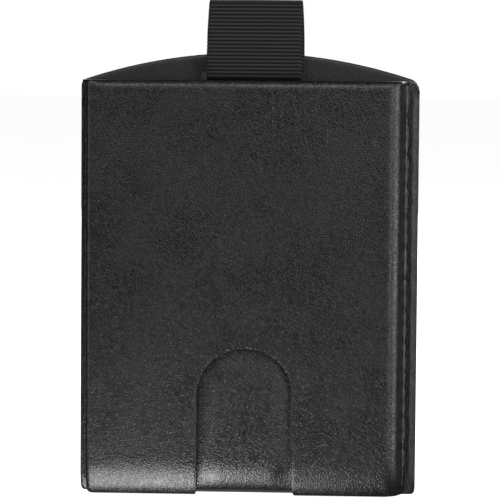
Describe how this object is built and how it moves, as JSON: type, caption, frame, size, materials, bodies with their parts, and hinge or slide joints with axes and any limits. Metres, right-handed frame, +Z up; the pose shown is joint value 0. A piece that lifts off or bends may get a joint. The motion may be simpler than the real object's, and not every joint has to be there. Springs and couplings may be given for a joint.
{
  "type": "pull-tab leather card case",
  "caption": "Slim upright leather card case with an arched back, a thumb cut-out at the foot and a ribbon strap that lifts the cards when its tab is pulled.",
  "frame": {"origin": "middle of the bottom of the box round the whole object, on the surface that the bottom fold stands on", "axes": "+Z up out of the mouth, along the pull; the front panel with the thumb cut-out faces -Y and the back panel +Y; +X is to the right seen from the front"},
  "size_m": [0.072, 0.0098, 0.1055],
  "materials": {
    "outer_leather": "black fine-grained smooth leather, satin",
    "sleeve_leather": "black leather with a coarser, more matte grain",
    "stiffening_board": "grey-brown bonded board, matte",
    "lining_cloth": "black woven lining cloth, matte",
    "patch_leather": "dark brown skived leather, matte",
    "thread": "black waxed polyester thread",
    "ribbon": "black grosgrain ribbon with cross ribs"
  },
  "bodies": {
    "case": {"outer_shell": "outer_leather", "front_board": "stiffening_board", "front_pocket_lining": "lining_cloth", "inner_sleeve": "sleeve_leather", "sleeve_board": "stiffening_board", "pocket_lining": "lining_cloth", "back_board": "stiffening_board", "mouth_facing": "outer_leather", "strap_anchor_patch": "patch_leather", "anchor_stitches": "thread", "seam_stitches_left_front": "thread", "seam_stitches_left_back": "thread", "seam_stitches_right_front": "thread", "seam_stitches_right_back": "thread", "strap_fixed_run": "ribbon"},
    "lifting_turn": {"strap_bight": "ribbon", "strap_pull_run": "ribbon"},
    "pull_tab": {"pull_loop": "ribbon", "loop_tack_stitches": "thread"}
  },
  "joints": [
    {"name": "turn_lift", "type": "slide", "parent": "case", "child": "lifting_turn", "axis": [0, 0, 1], "range_m": [0, 0.03], "deforming": ["strap_fixed_run"]},
    {"name": "tab_pull", "type": "slide", "parent": "lifting_turn", "child": "pull_tab", "axis": [0, 0, 1], "range_m": [0, 0.03], "deforming": ["strap_pull_run"]}
  ],
  "couplings": [
    {"joint": "tab_pull", "follows": "turn_lift", "ratio": 1}
  ]
}
